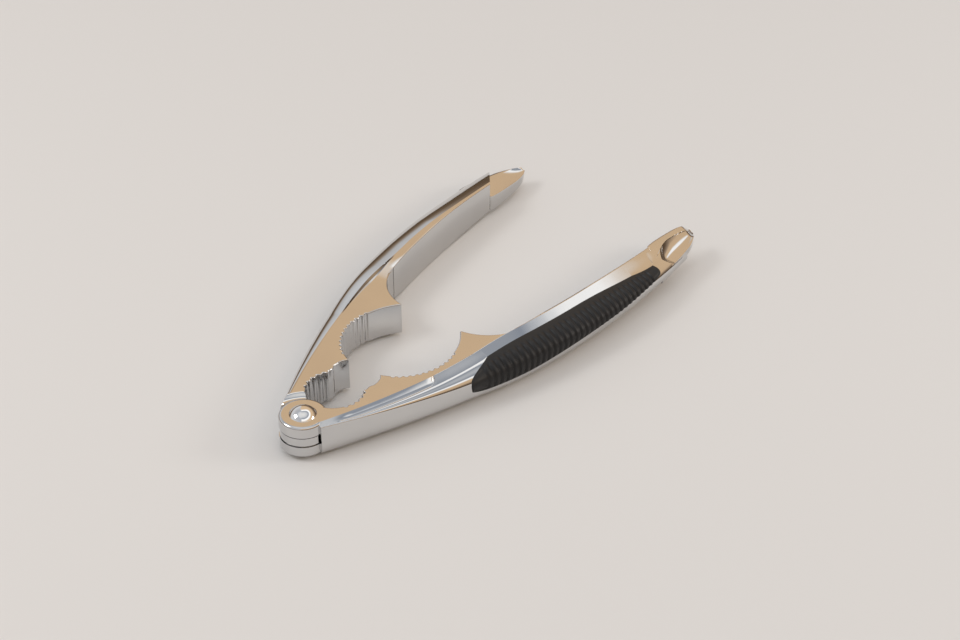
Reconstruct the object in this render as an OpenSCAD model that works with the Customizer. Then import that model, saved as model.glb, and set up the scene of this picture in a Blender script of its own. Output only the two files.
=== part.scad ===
// Lever nutcracker: two forged arms on one rivet, two pairs of toothed jaws, rubber grips.
// The right arm carries the fork of the hinge and the left arm the knuckle.
// Each arm is drawn with the jaws shut: hinge axis at x = y = 0, the arm along +X,
// its jaws facing y = 0, z = 0 at mid thickness. It then turns out by half the rest opening.

/* [Arms] */
// Angle between the arms' shut line and the middle line at rest, on each side
rest_half_angle = 10.85; // [4:0.05:25]
// Length from the hinge axis to the far end of an arm
arm_len = 174.2; // [168:0.2:186]
// Thickness of the jaws and of the hinge
jaw_t = 12; // [11:0.1:13]
// Thickness of the handles where they are fullest
handle_t = 15; // [13.6:0.1:17]
// Radius of the long outer curve in plan
outer_r = 275; // [250:1:320]
// Distance of the outer curve's top from the middle line
outer_top = 23.3; // [22.6:0.1:25]
// Place of the outer curve's top along the arm
outer_mid = 91; // [84:0.5:98]
// Radius of the handle's long inner curve in plan
inner_r = 430; // [380:5:600]
// Distance of the inner curve's top from the middle line
inner_top = 13; // [12.2:0.1:13.6]
// Place of the inner curve's top along the arm
inner_mid = 95; // [90:0.5:100]
// Share of the spine's width that is the flat bevel outside the crest
bevel_share = 0.62; // [0.5:0.01:0.7]
// Fall of the bevel for each millimetre of its width
bevel_fall = 0.26; // [0.1:0.01:0.35]
// Width of the flat strip between the handle's inner edge and its crest
strip_w = 0.8; // [0.4:0.1:1.5]
// Small bevel on the long inner edges
edge_bevel = 0.3; // [0.1:0.05:0.6]

/* [Hinge] */
// Radius of the hinge's round ears
ear_r = 8; // [7.6:0.1:8.6]
// Rounding of the ears' outer edges
ear_round = 0.8; // [0.3:0.1:1.2]
// Radius of the knuckle between the ears
knuckle_r = 7.8; // [7:0.1:8.4]
// Thickness of the knuckle
knuckle_t = 2.9; // [2.2:0.1:4]
// Thickness of each washer
washer_t = 0.35; // [0.2:0.05:0.8]
// Radius of the washers
washer_r = 7.2; // [5:0.1:7.6]
// Free play on each face of the knuckle and of the washers
face_play = 0.05; // [0.02:0.01:0.12]
// Gap round the ears and the knuckle
hinge_gap = 0.6; // [0.4:0.05:1]
// Rounding of the left arm's neck above and below the gap
neck_round = 3; // [1.5:0.1:3.4]
// Radius of the rivet's shank
rivet_r = 2.5; // [2:0.1:3]
// Radial play of the knuckle and washers on the shank
rivet_play = 0.05; // [0.02:0.01:0.1]
// Radius of the rivet's heads
head_r = 4.5; // [4:0.1:5.2]
// Height of the domed upper head
dome_h = 2; // [1.2:0.1:2.6]

/* [Small jaws] */
// Place of the small jaw's centre along the arm
small_x = 15.3; // [14.6:0.1:16]
// Distance of the small jaw's centre beyond the middle line
small_y = 3.1; // [2.5:0.1:3.6]
// Radius of the small jaw to its lands
small_r = 9.65; // [9.2:0.05:10]
// Number of grooves in the small jaw
small_teeth = 5; // [3:1:6]
// Direction of the small jaw's first groove from its centre
small_first = 105.4; // [95:0.2:108]
// Angle from one small groove to the next
small_step = 13.5; // [12:0.1:15]

/* [Large jaws] */
// Place of the large jaw's centre along the arm
large_x = 48.3; // [47.6:0.1:49]
// Distance of the large jaw's centre beyond the middle line
large_y = 9.6; // [9:0.1:10]
// Radius of the large jaw to its lands
large_r = 19.7; // [19.2:0.1:20.2]
// Number of grooves in the large jaw
large_teeth = 12; // [6:1:13]
// Direction of the large jaw's first groove from its centre
large_first = 135.6; // [130:0.2:138]
// Angle from one large groove to the next
large_step = 6.46; // [6:0.02:7]
// Radius of each groove between the lands
groove_r = 0.75; // [0.5:0.05:0.95]
// Distance of a groove's centre inside the circle of the lands
groove_in = 0.15; // [0:0.05:0.4]
// Radius of the smooth curve from the large jaw's teeth to the nose
throat_r = 30; // [28:0.5:34]
// Place of the nose along the arm
nose_x = 67.6; // [66.5:0.1:68.5]
// Radius of the hollow behind the nose
nose_back_r = 19.6; // [18.5:0.1:20.4]
// Distance of the blunt nose from the middle line
nose_y = 0.35; // [0.2:0.05:0.8]

/* [Panel and tip] */
// Depth of the sunk panel at its outer edge
panel_depth = 0.45; // [0.2:0.05:0.8]
// Place of the panel's round end along the arm
panel_end = 51.5; // [40:0.5:52]
// Place of the step where the handle's inner edge ends
step_x = 154.6; // [153.6:0.2:157]
// Angle of the step across the handle
step_angle = 26; // [15:1:40]
// Width of the tip's flat face
tip_face_w = 4.6; // [3.5:0.1:5]
// Half thickness of the tip on its flat side
tip_t = 3.7; // [3:0.1:4]

/* [Grips] */
// Place of the grip's blunt end along the arm
grip_start = 54; // [53.5:0.2:58]
// Place of the grip's narrow end along the arm
grip_end = 153; // [148:0.2:153.4]
// Metal left above and below the grip
grip_rim = 1.5; // [1.2:0.05:2.2]
// Thickness of the rubber at its upper and lower edges
grip_edge_t = 1.1; // [0.8:0.1:1.6]
// Height of the ribs above the rubber between them
rib_h = 0.6; // [0.3:0.05:0.9]
// Depth of the rubber between the ribs below the metal's surface
rib_sink = 0.35; // [0:0.05:0.5]
// Distance from one rib to the next
rib_pitch = 3.8; // [3:0.1:5]
// Number of ribs
rib_count = 23; // [8:1:23]
// Place of the first rib along the arm
rib_start = 60; // [59:0.2:62]
// Gap round the grip in its seat
grip_fit = 0.05; // [0.02:0.01:0.1]

/* [Hidden] */
$fn = 96;
chrome = [0.78, 0.78, 0.8];
rubber = [0.09, 0.09, 0.1];
over = 1;                                  // how far cutters run past what they cut
mid_z = handle_t / 2;                      // mid plane above the surface it lies on
jaw_h = jaw_t / 2;
crown_h = handle_t / 2;
slot_h = knuckle_t / 2 + washer_t + 2 * face_play;
rise_x = [42, 84];                         // where the spine rises to the handle's thickness
seat_x = [74, 96];                         // where the flat strip rises with it
fall_x = 120;                              // where the handle begins to thin
fall_rate = 0.0152;
crest_start = [8, 8.4];                    // crest line at the hinge end
crest_end = [60, 13.2];                    // crest line where the handle begins
riser_w = 0.3;
wall_bevel = 0.15;
blunt_len = 8;                             // length of the grip's rounded ends
narrow_len = 4.5;
grip_nib = 1.4;                            // half height of the grip at its very ends
step_len = 3.2;                            // distance between sections of an arm
bar_start = 0.4;
bar_end = 168;
tip_start = 151;
tip_round = 5.5;

// Smooth change from 0 to 1 between a and b, and a mix of two values.
function clamp01(t) = max(0, min(1, t));
function ease(x, a, b) = let(t = clamp01((x - a) / (b - a))) t * t * (3 - 2 * t);
function mix(a, b, t) = a + (b - a) * t;
function steps(a, b, n) = [for (i = [0:n]) mix(a, b, i / n)];

// Lines of the arm in plan, as distances from the middle line.
function outer_y(x) = outer_top - outer_r + sqrt(outer_r ^ 2 - (x - outer_mid) ^ 2);
function inner_y(x) = inner_top - (x - inner_mid) ^ 2 / (2 * inner_r);
function jaw_crest(x) =
    crest_end[1] - (crest_end[1] - crest_start[1])
    * ((crest_end[0] - min(x, crest_end[0])) / (crest_end[0] - crest_start[0])) ^ 2;
function crest_y(x) = mix(jaw_crest(x), inner_y(x) + strip_w, ease(x, crest_end[0], 90));
function bevel_y(x) = mix(crest_y(x), outer_y(x), bevel_share);
back_x = nose_x + sqrt(nose_back_r ^ 2 - (nose_back_r - inner_top) ^ 2);
function blank_y(x) =
    x < nose_x + 2 ? nose_y
    : x < back_x ? mix(nose_y, inner_y(back_x), (x - nose_x - 2) / (back_x - nose_x - 2))
    : inner_y(x);

// Half thicknesses: of the spine and handle at their crest, of the flat, and under the bevel.
function crown_z(x) =
    mix(jaw_h, crown_h, ease(x, rise_x[0], rise_x[1])) - fall_rate * max(0, x - fall_x) ^ 1.5;
function flat_z(x) = mix(jaw_h, crown_z(x), ease(x, seat_x[0], seat_x[1]));
function bevel_z(x) = crown_z(x) - bevel_fall * (bevel_y(x) - crest_y(x));
function wall_z(x) = bevel_z(x) - (outer_y(x) - bevel_y(x));

// Outer surface of the arm: distance from the middle line at height z.
function skin_y(x, z) =
    let(t = clamp01((abs(z) - wall_z(x)) / (bevel_z(x) - wall_z(x))))
    mix(bevel_y(x), outer_y(x), sqrt(1 - t * t));

// One section of the arm, from its inner edge over the top and back along the underside.
// The underside holds the sunk panel: its floor slopes away from the crest.
function panel_y(x) =
    let(full = mix(crest_y(x) + riser_w, bevel_y(x), 0.86), r = 3.2,
        t = clamp01((x - panel_end + r) / r))
    mix(crest_y(x) + riser_w + 0.1, full, sqrt(1 - t * t));
function panel_drop(x) = panel_depth * ease(x, 4, 12) * (x < panel_end ? 1 : 0);
function bevel_line(x, y) =
    mix(crown_z(x), bevel_z(x), (y - crest_y(x) - riser_w) / (bevel_y(x) - crest_y(x) - riser_w));
function half_top(x) = concat(
    [[blank_y(x), flat_z(x) - edge_bevel], [blank_y(x) + edge_bevel, flat_z(x)],
     [crest_y(x), flat_z(x)], [crest_y(x) + riser_w, crown_z(x)]],
    [for (a = [0:22.5:90])
        [mix(bevel_y(x), outer_y(x), sin(a)), mix(wall_z(x), bevel_z(x), cos(a))]]);
function half_low(x) =
    let(y = panel_y(x), top = half_top(x))
    concat([for (i = [len(top) - 1:-1:4]) [top[i][0], -top[i][1]]],
        [[y + wall_bevel, -bevel_line(x, y + wall_bevel)],
         [y, panel_drop(x) - bevel_line(x, y)]],
        [for (i = [3:-1:0]) [top[i][0], -top[i][1]]]);
function bar_ring(x) = [for (p = concat(half_top(x), half_low(x))) [x, p[0], p[1]]];

// A solid through a row of sections that all have the same number of points.
module loft(rings) {
    n = len(rings[0]);
    last = (len(rings) - 1) * n;
    polyhedron(
        points = [for (ring = rings) each ring],
        faces = concat(
            [[for (j = [n - 1:-1:0]) j]],
            [[for (j = [0:n - 1]) last + j]],
            [for (i = [0:len(rings) - 2], j = [0:n - 1])
                let(a = i * n + j, b = i * n + (j + 1) % n)
                each [[a, b, b + n], [a, b + n, a + n]]]));
}

// Tip of the arm: a narrow tongue, flat on its underside next to the inner edge,
// scooped out beside that flat, and dished on top from the outer rim to the inner edge.
function tip_in(x) = mix(8.9, 4.4, sqrt(clamp01((x - step_x) / (arm_len - 3 - step_x))));
function tip_out(x) = min(outer_y(x), outer_y(tip_start)) - 0.4;
function tip_width(x) =
    let(t = clamp01((x - arm_len + tip_round) / tip_round)) sqrt(max(0.02, 1 - t * t));
function tip_ring(x) =
    let(a0 = x < step_x ? inner_y(x) + 1.2 : tip_in(x), b0 = tip_out(x),
        m = mix(a0, b0, 0.45), w = tip_width(x),
        a = mix(m, a0, w), b = mix(m, b0, w), face = min(tip_face_w * w, 0.7 * (b - a)),
        s = ease(x, step_x, arm_len), low = mix(tip_t, 0.85 * tip_t, s) * mix(0.8, 1, w),
        rim = mix(2.9, 2.1, s), edge = mix(0.4, 0, s))
    [for (p = [[a, edge], [mix(a, b, 0.4), mix(edge, rim, 0.28)], [mix(a, b, 0.7), mix(edge, rim, 0.62)],
               [b - 0.18 * (b - a), rim], [b - 0.06 * (b - a), rim - 0.3], [b, rim - 1.1],
               [b, 0.2], [b - 0.06 * (b - a), -0.5],
               [mix(b, a + face, 0.45), mix(-0.5, -low, 0.3)],
               [mix(b, a + face, 0.8), mix(-0.5, -low, 0.68)],
               [a + face, -low], [a + 0.3 * w, -low], [a, -low + 0.3]])
        [x, p[0], p[1]]];

// Plan outline of everything that the jaws and the hollow behind the nose take away.
module grooves(cx, cy, r, first, pitch, count) {
    translate([cx, -cy])
        for (i = [0:count - 1])
            rotate(first - i * pitch) translate([r - groove_in, 0]) circle(groove_r, $fn = 24);
}

module small_jaw_cut() {
    translate([small_x, -small_y]) circle(small_r);
    grooves(small_x, small_y, small_r, small_first, small_step, small_teeth);
}

module large_jaw_cut() {
    translate([large_x, -large_y]) circle(large_r);
    grooves(large_x, large_y, large_r, large_first, large_step, large_teeth);
}

// Two smooth lips between the small and the large jaw.
module lips_cut() {
    polygon([[21.8, -2], [21.8, 4.3], [25.2, 3], [26.4, 3.8], [30.9, 2.3], [33, -2]]);
}

// Smooth throat from the last groove to the nose, left of the hollow behind the nose.
module throat_cut() {
    last = large_first - (large_teeth - 0.5) * large_step;
    join = [large_x + large_r * cos(last), large_r * sin(last) - large_y];
    nose = [nose_x, 0];
    chord = nose - join;
    half = norm(chord) / 2;
    deep = sqrt(throat_r ^ 2 - half ^ 2);
    centre = (join + nose) / 2 + deep * [chord[1], -chord[0]] / norm(chord);
    intersection() {
        translate(centre) circle(throat_r, $fn = 192);
        polygon([join - [0, 0.01], join + (join - centre) * 0.2, nose + (nose - centre) * 0.2, nose,
                 [nose_x, -over], [large_x, -over]]);
    }
}

module nose_back_cut() {
    intersection() {
        translate([back_x, inner_top - nose_back_r]) circle(nose_back_r, $fn = 128);
        translate([nose_x - over, -over]) square([back_x - nose_x + over, inner_top + 2 * over]);
    }
}

module jaws_cut() {
    translate([0, 0, -crown_h - over]) linear_extrude(2 * (crown_h + over)) {
        small_jaw_cut();
        large_jaw_cut();
        lips_cut();
        throat_cut();
        nose_back_cut();
    }
}

// Grip: its outline seen from the side, its floor against the metal, and its ribs.
function grip_half(x) =
    let(blunt = clamp01((grip_start + blunt_len - x) / blunt_len),
        narrow = clamp01((x - grip_end + narrow_len) / narrow_len),
        full = min(bevel_z(x), crown_z(x) - grip_rim - 1.1 * ease(x, 105, grip_end)))
    mix(grip_nib, full, sqrt((1 - blunt ^ 2) * (1 - narrow ^ 2)));
function grip_floor(x) = skin_y(x, min(bevel_z(x), crown_z(x) - grip_rim)) - grip_edge_t;
function grip_ring(x, lift) =
    let(g = grip_half(x), f = grip_floor(x))
    concat([[x, f, -g], [x, f, g]],
        [for (u = [1, 0.9, 0.78, 0.5, 0.2, -0.2, -0.5, -0.78, -0.9, -1])
            [x, skin_y(x, u * g) + (abs(u) < 0.8 ? lift - rib_sink : 0), u * g]]);
end_steps = [for (a = [0:15:90]) 1 - cos(a)];
rib_marks = [[0, 0], [0.2, 1], [0.6, 1], [0.8, 0]];
blunt_marks = [for (t = end_steps) [grip_start + 0.95 * (rib_start - grip_start) * t, rib_sink]];
narrow_marks = [for (i = [len(end_steps) - 1:-1:0]) [grip_end - narrow_len * end_steps[i], rib_sink]];
rib_tops = [for (i = [0:rib_count - 1], m = rib_marks)
    let(x = rib_start + (i + m[0]) * rib_pitch)
        if (x < grip_end - narrow_len - 0.3) [x, m[1] * rib_h]];
grip_marks = concat(blunt_marks, rib_tops, narrow_marks);

module grip() {
    loft([for (m = grip_marks) grip_ring(m[0], m[1])]);
}

// Seat for the grip: the same outline and floor, open to the outside.
module grip_seat() {
    last = len(grip_marks) - 1;
    loft([for (i = [0:last])
        let(x = grip_marks[i][0], g = grip_half(x) + grip_fit, f = grip_floor(x),
            out = outer_y(x) + over, at = x + (i == 0 ? -grip_fit : i == last ? grip_fit : 0))
        [[at, f, -g], [at, f, g], [at, out, g], [at, out, -g]]]);
}

// The forging that both arms start from, jaws and grip seat included.
module arm_blank() {
    difference() {
        union() {
            difference() {
                loft([for (x = steps(bar_start, bar_end, round((bar_end - bar_start) / step_len)))
                    bar_ring(x)]);
                translate([step_x, inner_y(step_x), -crown_h])
                    rotate(step_angle) translate([-40, -40, 0]) cube([120, 40, 2 * crown_h]);
            }
            loft([for (x = concat(steps(tip_start, arm_len - tip_round, 8),
                                  [for (a = [15:15:90]) arm_len - tip_round * (1 - sin(a))]))
                tip_ring(x)]);
        }
        jaws_cut();
        grip_seat();
    }
}

module ear() {
    rotate_extrude() intersection() {
        union() {
            square([ear_r, jaw_h - ear_round]);
            square([ear_r - ear_round, jaw_h]);
            translate([ear_r - ear_round, jaw_h - ear_round]) circle(ear_round, $fn = 32);
        }
        square([ear_r, jaw_h]);
    }
}

// Right arm: the blank turned over, with an ear above and below the knuckle's slot.
module right_arm_shut() {
    difference() {
        union() {
            rotate([180, 0, 0]) arm_blank();
            ear();
            mirror([0, 0, 1]) ear();
        }
        translate([0, 0, -slot_h]) cylinder(r = ear_r + hinge_gap, h = 2 * slot_h);
        translate([0, 0, -jaw_h - over]) cylinder(r = rivet_r, h = jaw_t + 2 * over);
    }
}

// Space round one ear that the left arm's neck leaves free, with its rounded mouth.
module neck_cut() {
    r = ear_r + hinge_gap;
    rotate_extrude() difference() {
        translate([0, knuckle_t / 2]) square([r + neck_round, jaw_h - knuckle_t / 2 + over]);
        translate([r + neck_round, jaw_h - neck_round]) circle(neck_round);
        translate([r, 0]) square([neck_round + over, jaw_h - neck_round]);
    }
}

module left_arm_shut() {
    difference() {
        union() {
            difference() {
                arm_blank();
                neck_cut();
                mirror([0, 0, 1]) neck_cut();
            }
            translate([0, 0, -knuckle_t / 2]) cylinder(r = knuckle_r, h = knuckle_t);
        }
        translate([0, 0, -jaw_h]) cylinder(r = rivet_r + rivet_play, h = jaw_t);
    }
}

// Each side of the tool, from the shut position to its place at rest.
module right_side() { translate([0, 0, mid_z]) rotate(-rest_half_angle) children(); }
module left_side() { translate([0, 0, mid_z]) rotate(rest_half_angle) children(); }

module right_arm() { color(chrome) right_side() right_arm_shut(); }

module left_arm() { color(chrome) left_side() left_arm_shut(); }

// Rivet: a domed head on top, the shank, and a flat head that reaches the resting surface.
module pivot_rivet() {
    dome_r = (head_r ^ 2 + dome_h ^ 2) / (2 * dome_h);
    color(chrome) translate([0, 0, mid_z]) rotate_extrude() {
        translate([0, -jaw_h]) square([rivet_r, jaw_t]);
        translate([0, -mid_z]) square([head_r, mid_z - jaw_h]);
        intersection() {
            translate([0, jaw_h + dome_h - dome_r]) circle(dome_r, $fn = 128);
            translate([0, jaw_h]) square([head_r, dome_h + over]);
        }
    }
}

module washer() {
    difference() {
        cylinder(r = washer_r, h = washer_t);
        translate([0, 0, -over]) cylinder(r = rivet_r + rivet_play, h = washer_t + 2 * over);
    }
}

module upper_washer() {
    color(chrome) translate([0, 0, mid_z + knuckle_t / 2 + face_play]) washer();
}

module lower_washer() {
    color(chrome) translate([0, 0, mid_z - knuckle_t / 2 - face_play - washer_t]) washer();
}

module right_grip() { color(rubber) right_side() rotate([180, 0, 0]) grip(); }

module left_grip() { color(rubber) left_side() grip(); }

right_arm();
left_arm();
pivot_rivet();
upper_washer();
lower_washer();
right_grip();
left_grip();
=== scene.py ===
import math
import bmesh
import bpy
from mathutils import Matrix, Vector


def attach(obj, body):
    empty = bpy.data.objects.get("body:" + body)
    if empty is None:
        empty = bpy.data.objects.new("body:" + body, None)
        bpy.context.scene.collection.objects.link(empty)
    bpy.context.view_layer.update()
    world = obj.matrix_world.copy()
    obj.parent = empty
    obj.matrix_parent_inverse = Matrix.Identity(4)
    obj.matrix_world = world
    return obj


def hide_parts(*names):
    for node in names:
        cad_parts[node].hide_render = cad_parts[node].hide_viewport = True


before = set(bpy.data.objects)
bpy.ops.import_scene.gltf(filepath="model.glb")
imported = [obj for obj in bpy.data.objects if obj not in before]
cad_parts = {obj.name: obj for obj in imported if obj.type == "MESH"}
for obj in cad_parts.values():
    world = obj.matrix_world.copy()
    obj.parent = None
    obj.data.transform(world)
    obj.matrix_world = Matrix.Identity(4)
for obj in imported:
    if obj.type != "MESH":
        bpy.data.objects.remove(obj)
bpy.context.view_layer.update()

# The two arms are drop forgings from one die, turned over for the right side: handle, jaws and
# tongue tip in one piece of steel, ground, polished and chrome plated.
# They are lofted here in millimetres, shut along the X axis, with the left arm's top upwards.
arm_len, jaw_h, crown_h = 184.2, 6.0, 7.5
rest_half_angle = math.radians(10.85)
# Outline: two arcs outside that meet at outer_mid, a parabola inside with its top at inner_mid.
outer_mid, outer_top, hinge_arc_r, tip_arc_r = 104, 24.8, 345.0, 265.0
inner_mid, inner_top, inner_spread = 95, 13, 860
half_gap, nose_x, nose_back_r = 0.35, 67.6, 19.6
# Section: the crown falls towards the tip, the panel's bevel slopes, small steps part the surfaces.
fall_start, crown_fall, bevel_slope = 120, 0.0064, 0.45
riser_w, riser_h, edge_bevel = 0.3, 0.25, 0.35
shoulder_reach, shoulder_dip = 0.62, 0.13
panel_end, panel_r, panel_depth, panel_lip = 44.0, 3.6, 0.45, 0.15
# Tongue: a slanting step, then a tip that narrows from both sides over its last part.
step_x, step_angle, step_reach = 157.2, math.radians(26), (40, 80)
tip_start, tip_round, tip_slant, tip_inner_end = 153.6, 11.0, 4.5, 4.8
tip_rim_share, tip_foot_share, scoop_turn, scoop_sink = 0.18, 0.06, 0.55, 0.35


def clamp01(t):
    return max(0.0, min(1.0, t))


def ease(x, a, b):
    t = clamp01((x - a) / (b - a))
    return t * t * (3 - 2 * t)


def mix(a, b, t):
    return a + (b - a) * t


def spread(a, b, count):
    return [mix(a, b, i / count) for i in range(count + 1)]


def outer_y(x):
    r = hinge_arc_r if x < outer_mid else tip_arc_r
    return outer_top - r + math.sqrt(r * r - (x - outer_mid) ** 2)


def inner_y(x):
    return inner_top - (x - inner_mid) ** 2 / inner_spread


def bend(x, start, end):
    left_over = (end[0] - min(x, end[0])) / (end[0] - start[0])
    return end[1] - (end[1] - start[1]) * left_over ** 2


def crest_y(x):
    return mix(bend(x, (8, 8.2), (60, 13.2)), inner_y(x) + edge_bevel, ease(x, 60, 86))


def ridge_y(x):
    return mix(bend(x, (8, 8.9), (85, 17)), inner_y(x) + mix(2.6, 0.6, ease(x, 100, 150)),
               ease(x, 70, 100))


def bevel_y(x):
    width = mix(mix(2.9, 3.3, ease(x, 5, 40)), 5.0, ease(x, 110, 150))
    return min(crest_y(x) + width, outer_y(x) - 0.5)


back_x = nose_x + math.sqrt(nose_back_r ** 2 - (nose_back_r - inner_top) ** 2)


def blank_y(x):
    if x < nose_x + 2:
        return half_gap
    if x < back_x:
        return mix(half_gap, inner_y(back_x), (x - nose_x - 2) / (back_x - nose_x - 2))
    return inner_y(x)


def crown_z(x):
    return mix(jaw_h, crown_h, ease(x, 42, 84)) - crown_fall * max(0.0, x - fall_start) ** 1.5


def flat_z(x):
    return mix(jaw_h, crown_z(x), ease(x, 74, 96))


def ridge_z(x):
    return max(crown_z(x), flat_z(x) + riser_h * (1 - ease(x, 74, 96)))


def strip_z(x):
    return flat_z(x) - riser_h * ease(x, 74, 96)


def bevel_z(x):
    return crown_z(x) - bevel_slope * (bevel_y(x) - crest_y(x))


def low_r(x):
    return min(4.6 - 1.3 * ease(x, 125, 155), 0.8 * (outer_y(x) - bevel_y(x)))


def low_wall(x):
    return bevel_z(x) - low_r(x)


def top_r(x):
    return min(mix(3.4, 7.6, ease(x, 62, 138)), ridge_z(x) + low_wall(x) - 0.15)


def top_wall(x):
    return ridge_z(x) - top_r(x)


def panel_y(x):
    t = clamp01((x - panel_end + panel_r) / panel_r)
    return mix(crest_y(x) + riser_w + 0.1, bevel_y(x) - 0.3, math.sqrt(1 - t * t))


def bevel_line(x, y):
    start = crest_y(x) + riser_w
    return mix(crown_z(x), bevel_z(x), (y - start) / (bevel_y(x) - start))


# One section of the bar: from the inner top edge over the plain side's shoulder, down the outer
# wall, and back along the panel side to the inner bottom edge.
def bar_ring(x):
    inner, ridge, crest = blank_y(x), ridge_y(x), crest_y(x)
    rounds = [(edge_bevel * (1 - math.cos(a)), edge_bevel * (1 - math.sin(a)))
              for a in map(math.radians, (0, 22.5, 45, 67.5, 90))]
    ring = [(inner + u, strip_z(x) - v) for u, v in rounds]
    ring += [(mix(inner + edge_bevel, ridge, 0.5), strip_z(x)), (ridge, strip_z(x))]
    wide, deep = outer_y(x) - ridge - riser_w, top_r(x)
    for k in range(25):
        t = k / 24
        first, second, third = 3 * t * (1 - t) ** 2, 3 * t * t * (1 - t), t ** 3
        along_y = first * shoulder_reach * wide + (second + third) * wide
        down = first * shoulder_dip * wide + second * 0.5 * deep + third * deep
        ring.append((ridge + riser_w + along_y, ridge_z(x) - down))
    for k in range(17):
        a = math.radians(90 - 5.625 * k)
        ring.append((mix(bevel_y(x), outer_y(x), math.sin(a)),
                     -mix(low_wall(x), bevel_z(x), math.cos(a))))
    edge = panel_y(x)
    drop = panel_depth * ease(x, 4, 12) if x < panel_end else 0.0
    foot_w = min(0.6, 0.45 * (edge - crest - riser_w))
    ring += [(edge + panel_lip, -bevel_line(x, edge + panel_lip)),
             (edge, 0.5 * drop - bevel_line(x, edge))]
    ring += [(edge - foot_w * u, v * drop - bevel_line(x, edge - foot_w * u))
             for u, v in ((0.25, 0.72), (0.6, 0.92), (1.0, 1.0))]
    panel_mid = mix(edge, crest + riser_w, 0.5)
    ring += [(panel_mid, drop * 0.5 - bevel_line(x, panel_mid))]
    ring += [(crest + riser_w, -crown_z(x)), (crest + 0.5 * riser_w, -crown_z(x)),
             (crest, -mix(flat_z(x), crown_z(x), 0.85)), (crest - 0.02, -flat_z(x)),
             (mix(inner, crest, 0.5), -flat_z(x))]
    ring += [(inner + u, v - flat_z(x)) for u, v in reversed(rounds)]
    return [(x, y, z) for y, z in ring]


# One section of the tongue: concave on the plain side, with a narrow face along the inner edge and
# a scoop beside it on the panel side. With only_scoop it gives the cutter that opens the scoop.
def tip_ring(x, only_scoop=False, at=0.0):
    narrowing = math.sqrt(clamp01((x - step_x) / (arm_len - tip_slant / 2 - step_x)))
    start = inner_y(x) + 1.2 if x < step_x else mix(inner_y(step_x), tip_inner_end, narrowing)
    end = min(outer_y(x), outer_y(tip_start)) - 0.4
    middle = mix(start, end, 0.28)
    t = clamp01((x - arm_len + tip_round) / tip_round)
    w = math.sqrt(max(0.09, 1 - t * t))
    a, b = mix(middle, start, w), mix(middle, end, w)
    s = ease(x, step_x - 3, arm_len)
    face = min(mix(5.4, 2.6, ease(x, step_x - 3, step_x + 12)), 0.6 * (b - a))
    rise = 1 - (1 - clamp01((x - tip_start) / (step_x + 3 - tip_start))) ** 3
    thin = mix(1, 0.5, ease(x, arm_len - tip_slant, arm_len))
    low = (crown_z(x) + mix(-0.05, 0.02, rise)) * thin
    lean = bevel_slope * mix(1, 0.55, ease(x, step_x + 2, arm_len - 3))
    near, brow_y = a + 0.4 * w, inner_y(x) + 0.65
    brow = min(max(brow_y, near + 0.1 * w), a + face - 0.4 * w)
    brow_low, near_low, face_low = (low - lean * max(0.0, y - inner_y(x) - 0.65)
                                    for y in (brow, near, a + face))
    rim, edge = mix(2.7, -0.1, s), mix(0.4, -1.2, s)
    foot, hollow = -mix(1.8, 3.1, s) * thin, mix(1.5, 2.8, s) * thin
    foot_y = b - tip_foot_share * (b - a)
    scoop = []
    for k in range(13):
        t = k / 12
        up = max(0.0, (t - scoop_turn) / (1 - scoop_turn)) ** 1.6
        down = min(1.0, t / scoop_turn)
        scoop.append((mix(foot_y, a + face, t),
                      mix(foot, -hollow, down * (2 - down)) + (hollow - face_low) * up))
    if only_scoop:
        sink = scoop_sink - 5 * (1 - ease(x, tip_start, step_x + 6))
        ring = [(y, z + sink) for y, z in scoop]
        ring += [(a + face, -14), (b + 3, -14), (b + 3, ring[0][1])]
        return [(at, y, z) for y, z in ring]
    reach = tip_rim_share * (b - a)
    ring = [(mix(a, b - reach, k / 12), mix(edge, rim, (k / 12) ** 1.9)) for k in range(12)]
    for k in range(9):
        u = math.radians(11.25 * k)
        ring.append((b - reach + reach * math.sin(u), rim - 0.9 + 0.9 * math.cos(u)))
    for k in range(1, 6):
        u = math.radians(18 * k)
        ring.append((b - tip_foot_share * (b - a) * (1 - math.cos(u)),
                     foot + 0.5 - 0.5 * math.sin(u)))
    ring += scoop[1:12]
    ring += [(a + face, -face_low), (brow, -brow_low), (near, -near_low)]
    ring += [(a + 0.4 * w * (1 - math.sin(u)), 0.3 - near_low - 0.3 * math.cos(u))
             for u in map(math.radians, (30, 60, 90))]
    return [(x, y, z) for y, z in ring]


def closed(name, points, faces):
    mesh = bpy.data.meshes.new(name)
    mesh.from_pydata(points, [], faces)
    work = bmesh.new()
    work.from_mesh(mesh)
    bmesh.ops.remove_doubles(work, verts=work.verts, dist=1e-6)
    bmesh.ops.recalc_face_normals(work, faces=work.faces)
    work.to_mesh(mesh)
    work.free()
    made = bpy.data.objects.new(name, mesh)
    bpy.context.scene.collection.objects.link(made)
    return made


def loft(name, rings):
    n, last = len(rings[0]), (len(rings) - 1) * len(rings[0])
    points = [point for ring in rings for point in ring]
    faces = [tuple(range(n)), tuple(range(last + n - 1, last - 1, -1))]
    faces += [(i * n + j, i * n + n + j, i * n + n + (j + 1) % n, i * n + (j + 1) % n)
              for i in range(len(rings) - 1) for j in range(n)]
    return closed(name, points, faces)


def revolved(name, outline, count=144):
    circle = [(math.cos(2 * math.pi * k / count), math.sin(2 * math.pi * k / count))
              for k in range(count)]
    points = [(r * c, r * d, z) for r, z in outline for c, d in circle]
    rows = len(outline)
    faces = [tuple(range(count)), tuple(range(rows * count - 1, rows * count - count - 1, -1))]
    faces += [(i * count + j, (i + 1) * count + j,
               (i + 1) * count + (j + 1) % count, i * count + (j + 1) % count)
              for i in range(rows - 1) for j in range(count)]
    return closed(name, points, faces)


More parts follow.
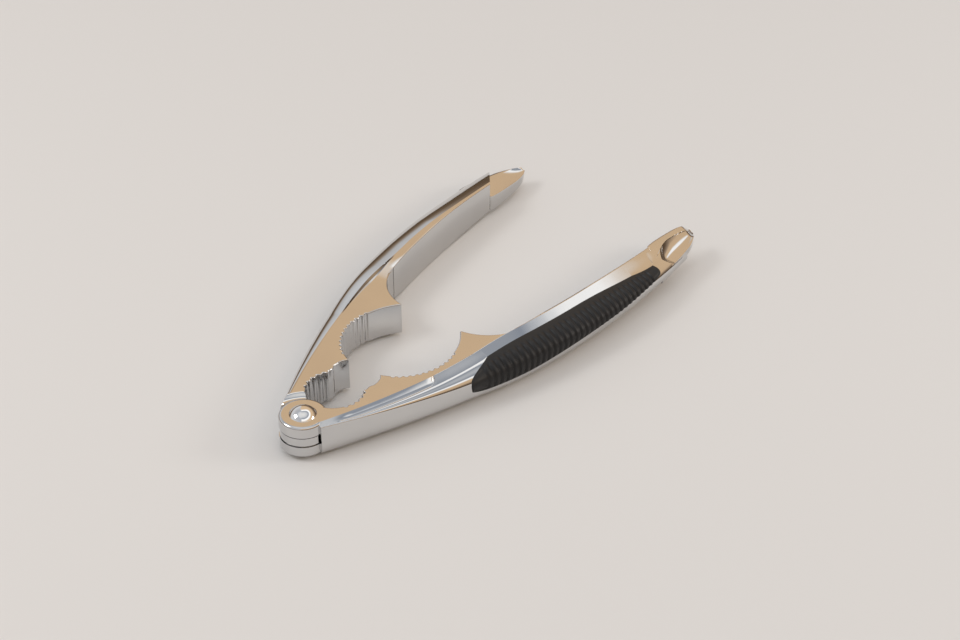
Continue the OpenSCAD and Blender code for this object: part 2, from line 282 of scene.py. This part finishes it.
def carve(body, tool, how="DIFFERENCE"):
    cut = body.modifiers.new("carve", "BOOLEAN")
    cut.operation, cut.solver, cut.object = how, "MANIFOLD", tool
    mesh = bpy.data.meshes.new_from_object(body.evaluated_get(bpy.context.evaluated_depsgraph_get()))
    body.modifiers.clear()
    old, body.data = body.data, mesh
    bpy.data.meshes.remove(old)
    bpy.data.meshes.remove(tool.data)


# Cutters for the jaws open out by a small round at both faces, as polished edges do.
flare, groove_r, groove_in = 0.35, 0.75, 0.15
rows = [(-9.0, flare)] + [(-(jaw_h - flare + flare * math.sin(math.radians(a))),
                          flare * (1 - math.cos(math.radians(a)))) for a in (90, 67.5, 45, 22.5, 0)]
rows += [(-z, f) for z, f in reversed(rows)]


def jaw_cutter(name, cx, cy, radius, first, pitch, count):
    samples = 1800
    reach = []
    for k in range(samples):
        angle = 360.0 * k / samples
        r = radius
        for i in range(count):
            off = math.radians((angle - first + i * pitch + 180) % 360 - 180)
            d = radius - groove_in
            if abs(off) < 0.2 and abs(d * math.sin(off)) < groove_r:
                r = max(r, d * math.cos(off) + math.sqrt(groove_r ** 2 - (d * math.sin(off)) ** 2))
        reach.append(r)
    for turn in range(2):
        reach = [(reach[k - 1] + 2 * reach[k] + reach[(k + 1) % samples]) / 4 for k in range(samples)]
    rings = [[(cx + (reach[k] + f) * math.cos(2 * math.pi * k / samples),
               -cy + (reach[k] + f) * math.sin(2 * math.pi * k / samples), z)
              for k in range(samples)] for z, f in rows]
    return loft(name, rings)


def prism(name, outline):
    return loft(name, [[(x, y, z) for x, y in outline(f)] for z, f in rows])


def lips(f):
    corners = [(21.8, -2), (21.8, 4.3), (25.2, 3), (26.4, 3.8), (30.9, 2.3), (33, -2)]
    for turn in range(3):
        corners = [point for a, b in zip(corners, corners[1:] + corners[:1])
                   for point in ((mix(a[0], b[0], 0.25), mix(a[1], b[1], 0.25)),
                                 (mix(a[0], b[0], 0.75), mix(a[1], b[1], 0.75)))]
    return [(x, y + (f if y > 0 else 0)) for x, y in corners]


# Centre, radius, first groove's angle, pitch and count of each jaw's arc.
small_jaw, large_jaw = (15.3, 3.1, 9.65, 105.4, 13.5, 5), (48.3, 9.6, 19.7, 135.6, 6.46, 12)
large_x, large_y, large_r, large_first, large_pitch, large_count = large_jaw
last_angle = math.radians(large_first - (large_count - 0.5) * large_pitch)
join = Vector((large_x + large_r * math.cos(last_angle), large_r * math.sin(last_angle) - large_y))
nose, throat_r = Vector((nose_x, 0)), 30
chord = nose - join
deep = math.sqrt(throat_r ** 2 - (chord.length / 2) ** 2)
throat = (join + nose) / 2 + deep * Vector((chord.y, -chord.x)) / chord.length


def throat_line(f):
    start = math.atan2(join.y - throat.y, join.x - throat.x)
    end = math.atan2(nose.y + 1 - throat.y, nose.x - throat.x)
    arc = [(min(throat.x + (throat_r + f) * math.cos(a), nose_x),
            throat.y + (throat_r + f) * math.sin(a)) for a in spread(start + 0.02, end, 60)]
    return [(large_x, -1.5)] + arc + [(nose_x, -1.5)]


def nose_back_line(f):
    cx, cy = back_x, inner_top - nose_back_r
    start = math.pi - math.asin((-1 - cy) / nose_back_r)
    arc = []
    for a in spread(start, math.pi / 2, 80):
        r = nose_back_r + f * ease(a, 1.571, 1.75)
        arc.append((cx + r * math.cos(a), cy + r * math.sin(a)))
    return [(cx, -1.5)] + [(arc[0][0], -1.5)] + arc


stations = sorted(set([round(x, 3) for x in spread(0.4, 172, 230)]
                      + [round(x, 3) for x in spread(panel_end - 4, panel_end - 0.02, 24)]
                      + [panel_end + 0.02]))
blank = loft("arm_blank", [bar_ring(x) for x in stations])
along = Vector((math.cos(step_angle), math.sin(step_angle)))
across = Vector((-math.sin(step_angle), math.cos(step_angle)))
corner, (back, ahead_x) = Vector((step_x, inner_y(step_x))), step_reach
square = [corner + along * u + across * v
          for u, v in ((-back, -back), (ahead_x, -back), (ahead_x, 0), (-back, 0))]
carve(blank, loft("step", [[(p.x, p.y, z) for p in square] for z in (-9, 9)]))
tip_line = spread(tip_start, arm_len - tip_round, 40)
tip_line += [arm_len - tip_round * (1 - math.sin(math.radians(a))) for a in range(3, 91, 3)]
carve(blank, loft("tongue", [tip_ring(x) for x in tip_line]), "UNION")
carve(blank, loft("scoop", [tip_ring(x, True, x) for x in spread(tip_start, arm_len - 0.02, 90)]
                  + [tip_ring(arm_len - 0.02, True, arm_len + 2)]))
carve(blank, jaw_cutter("small_jaw", *small_jaw))
carve(blank, jaw_cutter("large_jaw", *large_jaw))
carve(blank, prism("lips", lips))
carve(blank, prism("throat", throat_line))
carve(blank, prism("nose_back", nose_back_line))


# Grip seats are milled into both arms' outer sides: the grips below fill them.
grip_start, grip_end, grip_edge_t = 54.0, 152.4, 1.1
rib_start, rib_pitch = 60.0, 2.7


def blunt(x, length):
    return math.sqrt(1 - clamp01((grip_start + length - x) / length) ** 2)


def grip_a(x):
    return 0.05 * ease(x, grip_end - 12, grip_end) - mix(2.4, bevel_z(x), blunt(x, 11))


def grip_b(x):
    n = clamp01((x - 124) / (grip_end - 124))
    return mix(1.5 - bevel_z(x), mix(1.2, top_wall(x) - 0.5, blunt(x, 8)), math.sqrt(1 - n * n))


def inside(x, z, depth):
    if z < 0:
        a, edge = math.asin(clamp01((-z - low_wall(x)) / low_r(x))), bevel_y(x)
    else:
        a, edge = math.asin(clamp01((z - top_wall(x)) / top_r(x))), ridge_y(x) + riser_w
    return (mix(edge, outer_y(x), math.cos(a)) - depth * math.cos(a),
            z + (depth if z < 0 else -depth) * math.sin(a))


def seat_ring(x, at):
    a, b = grip_a(x), grip_b(x)
    floor_a, floor_b = inside(x, a, grip_edge_t), inside(x, b, grip_edge_t)
    out_a, out_b, far = inside(x, a, -1), inside(x, b, -1), outer_y(x) + 1
    return [(at, y, z) for y, z in (floor_a, floor_b, out_b, (far, out_b[1]), (far, out_a[1]), out_a)]


grip_line = [mix(grip_start, rib_start - 0.3, 1 - math.cos(math.radians(a))) for a in range(0, 91, 5)]
grip_line += spread(rib_start, grip_end - 4.5, 420)
grip_line += [grip_end - 4.5 * (1 - math.cos(math.radians(a))) for a in range(85, -1, -5)]
ends = {grip_start: -0.05, grip_end: 0.05}
carve(blank, loft("seat", [seat_ring(x, x + ends.get(x, 0)) for x in grip_line]))

# Hinge: the right arm's two ears and the left arm's knuckle, turned and milled into the forgings.
# The ears' edges have a round of 1 mm. A turned outline starts and ends just off the axis.
axis_r, ear_r, slot_r, slot_half, bore_r = 0.01, 8, 8.6, 1.9, 2.5
knuckle_r, knuckle_half, running_bore_r, neck_r = 7.8, 1.45, 2.55, 11.6
ear_outline = [(axis_r, -jaw_h)]
ear_outline += [(ear_r - 1.0 + math.sin(math.radians(a)), -jaw_h + 1.0 - math.cos(math.radians(a)))
                for a in range(0, 91, 15)]
ear_outline += [(r, -z) for r, z in reversed(ear_outline)]
right = bpy.data.objects.new("right_arm_chrome", blank.data.copy())
bpy.context.scene.collection.objects.link(right)
right.data.transform(Matrix.Rotation(math.pi, 4, "X"))
carve(right, revolved("ears", ear_outline), "UNION")



def disc(name, r, half):
    return revolved(name, [(axis_r, -half), (r, -half), (r, half), (axis_r, half)])


carve(right, disc("slot", slot_r, slot_half))
carve(right, disc("bore", bore_r, 7))

mouth = [(neck_r - 3 * math.cos(math.radians(a)), 3 + 3 * math.sin(math.radians(a)))
         for a in range(0, 91, 5)]
neck = [(axis_r, knuckle_half), (slot_r, knuckle_half)] + mouth + [(neck_r, 8), (axis_r, 8)]
left = blank
left.name = "left_arm_chrome"
carve(left, revolved("neck_top", neck))
carve(left, revolved("neck_low", [(r, -z) for r, z in neck]))
carve(left, disc("knuckle", knuckle_r, knuckle_half), "UNION")
carve(left, disc("left_bore", running_bore_r, 7))


# The handles are drawn out a little long above: this draws them back from draw_start on, by
# draw_back along and draw_in across at the tip, and sets each arm in its place in metres.
draw_start, draw_back, draw_in = 62, 10.2, 1.9
flat_limit, crease_limit = math.radians(6), math.radians(32)


def seat_piece(piece, side):
    for v in piece.data.vertices:
        t = max(0.0, v.co.x - draw_start) / 122.2
        v.co.x -= draw_back * t ** 1.15
        v.co.y -= side * draw_in * t
    piece.data.transform(Matrix.Scale(0.001, 4) @ Matrix.Translation((0, 0, crown_h))
                         @ Matrix.Rotation(side * rest_half_angle, 4, "Z"))
    work = bmesh.new()
    work.from_mesh(piece.data)
    bmesh.ops.remove_doubles(work, verts=work.verts, dist=4e-6)
    bmesh.ops.dissolve_degenerate(work, edges=work.edges, dist=1e-6)
    for face in work.faces:
        face.smooth = True
    for edge in work.edges:
        flat = any(abs(face.normal.z) > 0.9999 for face in edge.link_faces)
        limit = flat_limit if flat else crease_limit
        edge.smooth = len(edge.link_faces) == 2 and edge.calc_face_angle(0) < limit
    work.to_mesh(piece.data)
    work.free()


seat_piece(right, -1)
seat_piece(left, 1)

# Chrome plate over the polished forging: a mirror with faint polishing haze and slightly uneven
# metal. Haze, tone and waviness come from one node group in object coordinates, which the rivet
# and the washers share.
def link(tree, out, into):
    tree.links.new(out, into)


def material(name, base, metallic, roughness):
    made = bpy.data.materials.new(name)
    made.use_nodes = True
    shader = made.node_tree.nodes["Principled BSDF"]
    shader.inputs["Base Color"].default_value = (*base, 1)
    shader.inputs["Metallic"].default_value = metallic
    shader.inputs["Roughness"].default_value = roughness
    return made, made.node_tree, shader


polish = bpy.data.node_groups.new("polish_haze", "ShaderNodeTree")
for label, value in (("Haze", 0.05), ("Haze Depth", 0.03), ("Waviness", 0.1), ("Scratches", 0.04)):
    made = polish.interface.new_socket(label, in_out="INPUT", socket_type="NodeSocketFloat")
    made.default_value = value
polish.interface.new_socket("Roughness", in_out="OUTPUT", socket_type="NodeSocketFloat")
polish.interface.new_socket("Tone", in_out="OUTPUT", socket_type="NodeSocketFloat")
polish.interface.new_socket("Normal", in_out="OUTPUT", socket_type="NodeSocketVector")
ins, outs = polish.nodes.new("NodeGroupInput"), polish.nodes.new("NodeGroupOutput")
place = polish.nodes.new("ShaderNodeTexCoord")
cloud = polish.nodes.new("ShaderNodeTexNoise")
cloud.inputs["Scale"].default_value = 55
cloud.inputs["Detail"].default_value = 3
link(polish, place.outputs["Object"], cloud.inputs["Vector"])
haze = polish.nodes.new("ShaderNodeMath")
haze.operation = "MULTIPLY_ADD"
link(polish, cloud.outputs["Fac"], haze.inputs[0])
link(polish, ins.outputs["Haze Depth"], haze.inputs[1])
link(polish, ins.outputs["Haze"], haze.inputs[2])
stretch = polish.nodes.new("ShaderNodeMapping")
stretch.inputs["Scale"].default_value = (400, 5200, 5200)
link(polish, place.outputs["Object"], stretch.inputs["Vector"])
lines = polish.nodes.new("ShaderNodeTexNoise")
lines.inputs["Scale"].default_value = 1
lines.inputs["Detail"].default_value = 2
link(polish, stretch.outputs["Vector"], lines.inputs["Vector"])
scratch = polish.nodes.new("ShaderNodeMath")
scratch.operation = "MULTIPLY_ADD"
link(polish, lines.outputs["Fac"], scratch.inputs[0])
link(polish, ins.outputs["Scratches"], scratch.inputs[1])
link(polish, haze.outputs[0], scratch.inputs[2])
link(polish, scratch.outputs[0], outs.inputs["Roughness"])
link(polish, cloud.outputs["Fac"], outs.inputs["Tone"])
wave = polish.nodes.new("ShaderNodeTexNoise")
wave.inputs["Scale"].default_value = 120
wave.inputs["Detail"].default_value = 1
link(polish, place.outputs["Object"], wave.inputs["Vector"])
bump = polish.nodes.new("ShaderNodeBump")
bump.inputs["Distance"].default_value = 0.0004
link(polish, ins.outputs["Waviness"], bump.inputs["Strength"])
link(polish, wave.outputs["Fac"], bump.inputs["Height"])
link(polish, bump.outputs["Normal"], outs.inputs["Normal"])


def metal(name, light, dark, haze_value, waviness, scratches):
    made, tree, shader = material(name, light, 1.0, 0.08)
    surface = tree.nodes.new("ShaderNodeGroup")
    surface.node_tree = polish
    surface.inputs["Haze"].default_value = haze_value
    surface.inputs["Haze Depth"].default_value = 0.03
    surface.inputs["Waviness"].default_value = waviness
    surface.inputs["Scratches"].default_value = scratches
    tone = tree.nodes.new("ShaderNodeMix")
    tone.data_type = "RGBA"
    tone.inputs["A"].default_value, tone.inputs["B"].default_value = (*dark, 1), (*light, 1)
    link(tree, surface.outputs["Tone"], tone.inputs["Factor"])
    link(tree, tone.outputs["Result"], shader.inputs["Base Color"])
    link(tree, surface.outputs["Roughness"], shader.inputs["Roughness"])
    link(tree, surface.outputs["Normal"], shader.inputs["Normal"])
    return made


chrome = metal("arm_chrome", (0.68, 0.675, 0.67), (0.59, 0.59, 0.595), 0.03, 0.06, 0.03)
for piece, body, node in ((right, "right_side", "right_arm"), (left, "left_side", "left_arm")):
    piece.data.materials.clear()
    piece.data.materials.append(chrome)
    for face in piece.data.polygons:
        face.material_index = 0
    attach(piece, body)
    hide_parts(node)

# Rivet and washers: the rivet is a turned steel pin, chromed, with a flat lower head and a domed
# upper one that is closed over the ear. Two thin plain steel washers lie in the slot.
low_head, head_r, dome_start, dome_h = 1.5, 4.5, 13.5, 2
rivet_outline = [(axis_r, 0), (4.2, 0), (4.45, 0.12), (head_r, 0.35), (head_r, low_head),
                 (bore_r, low_head), (bore_r, dome_start)]
rivet_outline += [(r, dome_start + dome_h * (1 - (r / head_r) ** 2.7))
                  for r in spread(head_r, axis_r, 32)]
rivet = revolved("rivet_chrome", rivet_outline)
for v in rivet.data.vertices:
    v.co *= 0.001
rivet.data.set_sharp_from_angle(angle=math.radians(35))
rivet.data.polygons.foreach_set("use_smooth", [True] * len(rivet.data.polygons))
rivet_plate = metal("rivet_plate", (0.80, 0.795, 0.79), (0.72, 0.72, 0.72), 0.04, 0.02, 0.02)
rivet.data.materials.append(rivet_plate)
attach(rivet, "right_side")
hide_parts("pivot_rivet")
washer_steel = metal("washer_plain", (0.56, 0.55, 0.54), (0.42, 0.41, 0.40), 0.16, 0.1, 0.1)
for name in ("upper_washer", "lower_washer"):
    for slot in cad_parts[name].material_slots:
        slot.material = washer_steel

# Grips: black rubber mouldings bonded in the milled seats, smooth along both edges and at the ends,
# with a row of soft cross ribs over the outer side.
rubber, rubber_tree, rubber_shader = material("grip_rubber", (0.014, 0.014, 0.015), 0.0, 0.6)
rubber_shader.inputs["Specular IOR Level"].default_value = 0.35
spot = rubber_tree.nodes.new("ShaderNodeTexCoord")
grain = rubber_tree.nodes.new("ShaderNodeTexNoise")
grain.inputs["Scale"].default_value = 2600
grain.inputs["Detail"].default_value = 3
link(rubber_tree, spot.outputs["Object"], grain.inputs["Vector"])
dust = rubber_tree.nodes.new("ShaderNodeTexNoise")
dust.inputs["Scale"].default_value = 260
dust.inputs["Detail"].default_value = 4
link(rubber_tree, spot.outputs["Object"], dust.inputs["Vector"])
shade = rubber_tree.nodes.new("ShaderNodeMix")
shade.data_type = "RGBA"
shade.inputs["A"].default_value = (0.008, 0.008, 0.009, 1)
shade.inputs["B"].default_value = (0.018, 0.018, 0.019, 1)
link(rubber_tree, dust.outputs["Fac"], shade.inputs["Factor"])
link(rubber_tree, shade.outputs["Result"], rubber_shader.inputs["Base Color"])
matt = rubber_tree.nodes.new("ShaderNodeMapRange")
matt.inputs["To Min"].default_value, matt.inputs["To Max"].default_value = 0.36, 0.55
link(rubber_tree, dust.outputs["Fac"], matt.inputs["Value"])
link(rubber_tree, matt.outputs["Result"], rubber_shader.inputs["Roughness"])
pores = rubber_tree.nodes.new("ShaderNodeBump")
pores.inputs["Strength"].default_value = 0.35
pores.inputs["Distance"].default_value = 0.00008
link(rubber_tree, grain.outputs["Fac"], pores.inputs["Height"])
link(rubber_tree, pores.outputs["Normal"], rubber_shader.inputs["Normal"])

ribs = bpy.data.node_groups.new("grip_ribs", "GeometryNodeTree")
ribs.interface.new_socket("Geometry", in_out="INPUT", socket_type="NodeSocketGeometry")
inputs = {}
rib_height, rib_last = 0.6, 147.2
for label, value in (("Rib Height", rib_height), ("Rib Pitch", rib_pitch),
                     ("First Rib", rib_start), ("Last Rib", rib_last)):
    made = ribs.interface.new_socket(label, in_out="INPUT", socket_type="NodeSocketFloat")
    made.default_value = value
    inputs[label] = made.identifier
made = ribs.interface.new_socket("Rubber", in_out="INPUT", socket_type="NodeSocketMaterial")
rubber_input = made.identifier
ribs.interface.new_socket("Geometry", in_out="OUTPUT", socket_type="NodeSocketGeometry")
g_in, g_out = ribs.nodes.new("NodeGroupInput"), ribs.nodes.new("NodeGroupOutput")


def reader(label):
    node = ribs.nodes.new("GeometryNodeInputNamedAttribute")
    node.data_type = "FLOAT"
    node.inputs["Name"].default_value = label
    return node.outputs["Attribute"]


def sum_of(operation, *values):
    node = ribs.nodes.new("ShaderNodeMath")
    node.operation = operation
    for k, value in enumerate(values):
        if isinstance(value, (int, float)):
            node.inputs[k].default_value = value
        else:
            ribs.links.new(value, node.inputs[k])
    return node.outputs[0]


def slope(value, a, b, to_a, to_b):
    node = ribs.nodes.new("ShaderNodeMapRange")
    node.interpolation_type = "SMOOTHSTEP"
    for key, number in (("From Min", a), ("From Max", b), ("To Min", to_a), ("To Max", to_b)):
        node.inputs[key].default_value = number
    ribs.links.new(value, node.inputs["Value"])
    return node.outputs["Result"]


reach_along = reader("along")
past_first = sum_of("SUBTRACT", reach_along, g_in.outputs["First Rib"])
count = sum_of("DIVIDE", past_first, g_in.outputs["Rib Pitch"])
phase = sum_of("FRACT", count)
wave_up = sum_of("MULTIPLY", slope(phase, 0.0, 0.3, 0, 1), slope(phase, 0.62, 0.92, 1, 0))
on = sum_of("MULTIPLY", sum_of("GREATER_THAN", count, 0.0),
            sum_of("LESS_THAN", reach_along, g_in.outputs["Last Rib"]))
lift = sum_of("MULTIPLY", sum_of("MULTIPLY", wave_up, on),
              sum_of("MULTIPLY", reader("share"), g_in.outputs["Rib Height"]))
facing = ribs.nodes.new("GeometryNodeInputNormal")
move = ribs.nodes.new("ShaderNodeVectorMath")
move.operation = "SCALE"
ribs.links.new(facing.outputs[0], move.inputs[0])
ribs.links.new(lift, move.inputs["Scale"])
raise_ribs = ribs.nodes.new("GeometryNodeSetPosition")
ribs.links.new(g_in.outputs["Geometry"], raise_ribs.inputs["Geometry"])
ribs.links.new(move.outputs["Vector"], raise_ribs.inputs["Offset"])
real = ribs.nodes.new("GeometryNodeRealizeInstances")
ribs.links.new(raise_ribs.outputs["Geometry"], real.inputs["Geometry"])
paint = ribs.nodes.new("GeometryNodeSetMaterial")
ribs.links.new(real.outputs["Geometry"], paint.inputs["Geometry"])
ribs.links.new(g_in.outputs["Rubber"], paint.inputs["Material"])
ribs.links.new(paint.outputs["Geometry"], g_out.inputs["Geometry"])


def grip_ring(x):
    a, b = grip_a(x), grip_b(x)
    ends_in = ease(x, grip_start, grip_start + 6) * (1 - ease(x, grip_end - 4.5, grip_end))
    ring = [(inside(x, a, grip_edge_t), 0), (inside(x, b, grip_edge_t), 0)]
    for k in range(32, -1, -1):
        u = (1 - math.cos(math.pi * k / 32)) / 2
        share = ease(u, 0.03, 0.08) * (1 - ease(u, 0.9, 0.985))
        out = 4 * u * (1 - u) * 0.8 - 0.35 * share * ends_in
        ring.append((inside(x, mix(a, b, u), -out), share))
    return [(x, y, z) for (y, z), share in ring], [share for point, share in ring]


for side, body, node in ((-1, "right_side", "right_grip"), (1, "left_side", "left_grip")):
    grip = loft(node + "_rubber", [grip_ring(x)[0] for x in grip_line])
    # The loft's points keep their order, so the ribs' place and share are written point by point.
    along_line = grip.data.attributes.new("along", "FLOAT", "POINT")
    share_line = grip.data.attributes.new("share", "FLOAT", "POINT")
    shares = [(x, share) for x in grip_line for share in grip_ring(x)[1]]
    along_line.data.foreach_set("value", [x for x, share in shares])
    share_line.data.foreach_set("value", [share for x, share in shares])
    made = grip.modifiers.new("ribs", "NODES")
    made.node_group = ribs
    made[inputs["Rib Height"]], made[inputs["Rib Pitch"]] = rib_height, rib_pitch
    made[inputs["First Rib"]], made[inputs["Last Rib"]] = rib_start, rib_last
    made[rubber_input] = rubber
    mesh = bpy.data.meshes.new_from_object(grip.evaluated_get(bpy.context.evaluated_depsgraph_get()))
    grip.modifiers.clear()
    grip.data = mesh
    if side < 0:
        grip.data.transform(Matrix.Rotation(math.pi, 4, "X"))
    seat_piece(grip, side)
    grip.data.materials.clear()
    grip.data.materials.append(rubber)
    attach(grip, body)
    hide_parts(node)

# Table top and studio: a plain pale table, a surround that is brown low down, warm at the middle
# height and pale above, greyer towards the left, and two softboxes.
floor_mesh = bpy.data.meshes.new("table_top")
reach = 3.0
corners = [(-reach, -reach, 0), (reach, -reach, 0), (reach, reach, 0), (-reach, reach, 0)]
floor_mesh.from_pydata(corners, [], [(0, 1, 2, 3)])
floor = bpy.data.objects.new("table_top", floor_mesh)
bpy.context.scene.collection.objects.link(floor)
floor_mesh.materials.append(material("pale_paper", (0.74, 0.735, 0.73), 0.0, 0.8)[0])

world = bpy.data.worlds.new("studio")
bpy.context.scene.world = world
world.use_nodes = True
tree = world.node_tree
background = tree.nodes["Background"]
background.inputs["Strength"].default_value = 0.95
direction = tree.nodes.new("ShaderNodeTexCoord")
split = tree.nodes.new("ShaderNodeSeparateXYZ")
link(tree, direction.outputs["Generated"], split.inputs["Vector"])


def wall_colours(stops):
    ramp = tree.nodes.new("ShaderNodeValToRGB")
    while len(ramp.color_ramp.elements) < len(stops):
        ramp.color_ramp.elements.new(0.5)
    for element, (at, colour) in zip(ramp.color_ramp.elements, stops):
        element.position, element.color = at, (*colour, 1)
    link(tree, split.outputs["Z"], ramp.inputs["Fac"])
    return ramp.outputs["Color"]


# The right-hand part of the surround is warm, with a bright band that the handles' bevels mirror.
ahead = wall_colours([
    (0.0, (0.12, 0.08, 0.05)), (0.14, (0.16, 0.105, 0.065)), (0.30, (0.40, 0.29, 0.20)),
    (0.44, (0.84, 0.60, 0.38)), (0.655, (0.89, 0.64, 0.40)), (0.70, (1.1, 1.0, 0.9)),
    (0.735, (1.4, 1.39, 1.37)), (0.795, (1.4, 1.39, 1.37)), (0.835, (0.36, 0.40, 0.47)),
    (0.87, (0.46, 0.49, 0.54)), (0.92, (0.75, 0.77, 0.80)), (1.0, (1.0, 0.99, 0.97))])
aside = wall_colours([
    (0.0, (0.12, 0.08, 0.05)), (0.13, (0.18, 0.12, 0.075)), (0.20, (0.36, 0.28, 0.21)),
    (0.26, (0.66, 0.65, 0.65)), (0.40, (0.84, 0.85, 0.87)), (0.70, (0.60, 0.60, 0.62)),
    (0.84, (0.55, 0.58, 0.63)), (0.90, (0.85, 0.87, 0.90)), (1.0, (1.0, 0.99, 0.97))])
left_part = tree.nodes.new("ShaderNodeVectorMath")
left_part.operation = "DOT_PRODUCT"
left_part.inputs[1].default_value = (-0.61, 0.79, 0)
link(tree, direction.outputs["Generated"], left_part.inputs[0])
turn_in = tree.nodes.new("ShaderNodeMapRange")
turn_in.interpolation_type = "SMOOTHSTEP"
turn_in.inputs["From Min"].default_value, turn_in.inputs["From Max"].default_value = 0.09, 0.17
link(tree, left_part.outputs["Value"], turn_in.inputs["Value"])
around = tree.nodes.new("ShaderNodeMix")
around.data_type = "RGBA"
link(tree, turn_in.outputs["Result"], around.inputs["Factor"])
link(tree, ahead, around.inputs["A"])
link(tree, aside, around.inputs["B"])
link(tree, around.outputs["Result"], background.inputs["Color"])


def softbox(name, place_at, aim, size, power, colour):
    lamp = bpy.data.lights.new(name, "AREA")
    lamp.shape = "RECTANGLE"
    lamp.size, lamp.size_y = size
    lamp.energy = power
    lamp.color = colour
    body = bpy.data.objects.new(name, lamp)
    bpy.context.scene.collection.objects.link(body)
    facing_to = (Vector(aim) - Vector(place_at)).to_track_quat("-Z", "Y")
    body.matrix_world = Matrix.Translation(place_at) @ facing_to.to_matrix().to_4x4()


softbox("softbox_side", (0.55, -0.70, 0.40), (0.1, -0.03, 0), (0.3, 0.25), 1.6, (1, 0.99, 0.97))
softbox("softbox_left", (-0.45, 0.55, 0.75), (0.08, 0, 0), (0.4, 0.3), 2.4, (1, 0.98, 0.95))

# Camera: a long lens from above, behind the hinge, looking along the opened handles. Its roll is
# a small turn about the view line.
camera = bpy.data.cameras.new("camera")
camera.sensor_width = 36.0
camera.lens = 83.73
eye = bpy.data.objects.new("camera", camera)
bpy.context.scene.collection.objects.link(eye)
azimuth, elevation, roll = math.radians(37.55), math.radians(35.87), math.radians(-0.25)
forward = Vector((math.cos(azimuth) * math.cos(elevation), math.sin(azimuth) * math.cos(elevation),
                  -math.sin(elevation)))
sideways = Vector((math.sin(azimuth), -math.cos(azimuth), 0))
upward = sideways.cross(forward)
sideways, upward = (math.cos(roll) * sideways + math.sin(roll) * upward,
                    math.cos(roll) * upward - math.sin(roll) * sideways)
eye.matrix_world = Matrix.Translation((-0.41179, -0.38845, 0.45738)) @ Matrix(
    (sideways, upward, -forward)).transposed().to_4x4()
bpy.context.scene.camera = eye
bpy.context.scene.view_settings.view_transform = "Standard"
